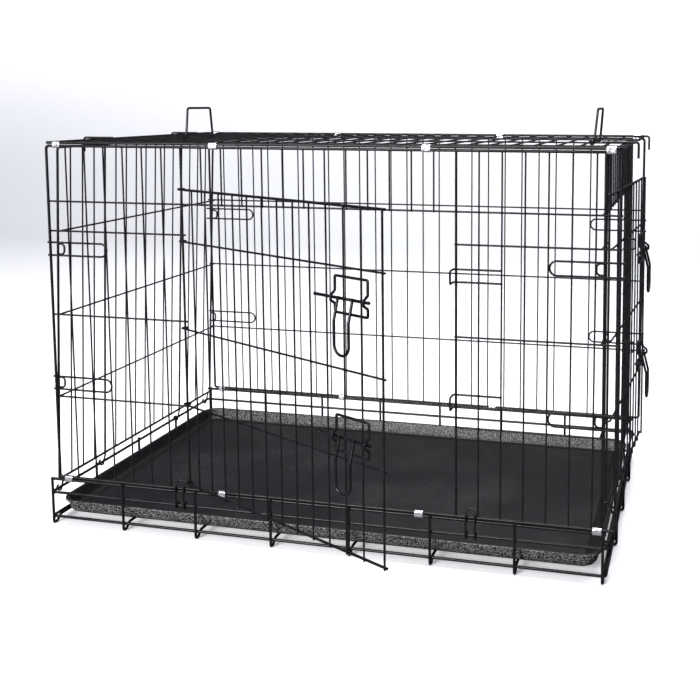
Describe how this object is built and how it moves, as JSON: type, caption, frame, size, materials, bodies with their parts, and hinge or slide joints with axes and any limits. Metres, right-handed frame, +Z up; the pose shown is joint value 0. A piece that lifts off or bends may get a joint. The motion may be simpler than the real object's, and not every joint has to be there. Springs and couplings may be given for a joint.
{
  "type": "wire dog crate",
  "caption": "Folding wire dog crate with a front door and a side door on bolt latches, fold-in end panels, top carrying handles and a lift-out plastic tray.",
  "frame": {"origin": "on the floor under the middle of the cage's long and end panels", "axes": "+X along the cage's length, to the right as seen from the front door; -Y towards the front door; +Z up"},
  "size_m": [0.9603, 0.7778, 0.689],
  "materials": {
    "black_wire": "gloss",
    "zinc_clip": "satin",
    "tray_plastic": "textured"
  },
  "bodies": {
    "crate": {"front_frame": "black_wire", "front_uprights": "black_wire", "front_bars": "black_wire", "front_corner_loops": "black_wire", "front_door_keepers": "black_wire", "back_frame": "black_wire", "back_uprights": "black_wire", "back_bars": "black_wire", "back_corner_loops": "black_wire", "top_frame": "black_wire", "top_cross_wires": "black_wire", "top_long_wires": "black_wire", "top_end_hooks": "black_wire", "base_top_rail": "black_wire", "base_middle_rail": "black_wire", "base_floor_rail": "black_wire", "base_cross_wires": "black_wire", "base_long_wires": "black_wire", "clips_front_bottom": "zinc_clip", "clips_front_top": "zinc_clip", "clips_back_bottom": "zinc_clip", "clips_back_top": "zinc_clip"},
    "tray": {"tray": "tray_plastic"},
    "base_catch_left": {"base_catch_left": "black_wire"},
    "base_catch_right": {"base_catch_right": "black_wire"},
    "top_handle_left": {"top_handle_left": "black_wire"},
    "top_handle_right": {"top_handle_right": "black_wire"},
    "front_door": {"front_door_frame": "black_wire", "front_door_bars": "black_wire", "front_door_uprights": "black_wire", "front_door_bolt_guides": "black_wire"},
    "front_door_upper_bolt": {"front_door_bolt_upper": "black_wire"},
    "front_door_upper_grip": {"front_door_grip_upper": "black_wire"},
    "front_door_lower_bolt": {"front_door_bolt_lower": "black_wire"},
    "front_door_lower_grip": {"front_door_grip_lower": "black_wire"},
    "left_end": {"left_end_frame": "black_wire", "left_end_uprights": "black_wire", "left_end_bars": "black_wire", "left_end_hooks": "black_wire", "left_end_lock_tabs": "black_wire"},
    "right_end": {"right_end_frame": "black_wire", "right_end_uprights": "black_wire", "right_end_bars": "black_wire", "right_end_hooks": "black_wire", "right_end_lock_tabs": "black_wire", "side_door_keepers": "black_wire"},
    "side_door": {"side_door_frame": "black_wire", "side_door_bars": "black_wire", "side_door_uprights": "black_wire", "side_door_bolt_guides": "black_wire"},
    "side_door_upper_bolt": {"side_door_bolt_upper": "black_wire"},
    "side_door_upper_grip": {"side_door_grip_upper": "black_wire"},
    "side_door_lower_bolt": {"side_door_bolt_lower": "black_wire"},
    "side_door_lower_grip": {"side_door_grip_lower": "black_wire"}
  },
  "joints": [
    {"name": "front_door_hinge", "type": "hinge", "parent": "crate", "child": "front_door", "pos_m": [-0.21905, -0.2765, 0.3], "axis": [0, 0, 1], "range_deg": [-77.3, 27.7]},
    {"name": "side_door_hinge", "type": "hinge", "parent": "right_end", "child": "side_door", "pos_m": [0.43401, -0.201, 0.29996], "axis": [-0.0052, 0, 1], "range_deg": [-110, 4]},
    {"name": "front_door_upper_bolt_slide", "type": "slide", "parent": "front_door", "child": "front_door_upper_bolt", "axis": [0.8854, -0.4648, 0], "range_m": [0, 0.018]},
    {"name": "front_door_upper_grip_turn", "type": "hinge", "parent": "front_door_upper_bolt", "child": "front_door_upper_grip", "pos_m": [0.12104, -0.46965, 0.442], "axis": [-0.8854, 0.4648, 0], "range_deg": [0, 90]},
    {"name": "front_door_lower_bolt_slide", "type": "slide", "parent": "front_door", "child": "front_door_lower_bolt", "axis": [0.8854, -0.4648, 0], "range_m": [0, 0.018]},
    {"name": "front_door_lower_grip_turn", "type": "hinge", "parent": "front_door_lower_bolt", "child": "front_door_lower_grip", "pos_m": [0.12104, -0.46965, 0.254], "axis": [-0.8854, 0.4648, 0], "range_deg": [0, 90]},
    {"name": "side_door_upper_bolt_slide", "type": "slide", "parent": "side_door", "child": "side_door_upper_bolt", "axis": [0.0698, 0.9976, 0.0004], "range_m": [0, 0.018]},
    {"name": "side_door_upper_grip_turn", "type": "hinge", "parent": "side_door_upper_bolt", "child": "side_door_upper_grip", "pos_m": [0.46623, 0.0852, 0.44213], "axis": [-0.0698, -0.9976, -0.0004], "range_deg": [0, 90]},
    {"name": "side_door_lower_bolt_slide", "type": "slide", "parent": "side_door", "child": "side_door_lower_bolt", "axis": [0.0698, 0.9976, 0.0004], "range_m": [0, 0.018]},
    {"name": "side_door_lower_grip_turn", "type": "hinge", "parent": "side_door_lower_bolt", "child": "side_door_lower_grip", "pos_m": [0.46721, 0.0852, 0.25413], "axis": [-0.0698, -0.9976, -0.0004], "range_deg": [0, 90]},
    {"name": "left_end_fold", "type": "hinge", "parent": "crate", "child": "left_end", "pos_m": [-0.472, 0, 0.053], "axis": [0, 1, 0], "range_deg": [0, 85]},
    {"name": "right_end_fold", "type": "hinge", "parent": "crate", "child": "right_end", "pos_m": [0.443, 0, 0.053], "axis": [0, -1, 0], "range_deg": [0, 82]},
    {"name": "top_handle_left_fold", "type": "hinge", "parent": "crate", "child": "top_handle_left", "pos_m": [-0.32015, -0.026, 0.633], "axis": [0, 1, 0], "range_deg": [-84, 76]},
    {"name": "top_handle_right_fold", "type": "hinge", "parent": "crate", "child": "top_handle_right", "pos_m": [0.38755, 0.018, 0.633], "axis": [0, 1, 0], "range_deg": [-89, 71]},
    {"name": "base_catch_left_swing", "type": "hinge", "parent": "crate", "child": "base_catch_left", "pos_m": [-0.2355, -0.2769, 0.053], "axis": [1, 0, 0], "range_deg": [0, 95]},
    {"name": "base_catch_right_swing", "type": "hinge", "parent": "crate", "child": "base_catch_right", "pos_m": [0.2422, -0.2769, 0.053], "axis": [1, 0, 0], "range_deg": [0, 95]},
    {"name": "tray_lift", "type": "slide", "parent": "crate", "child": "tray", "axis": [0, 0, -1], "range_m": [-0.009, 0]}
  ]
}
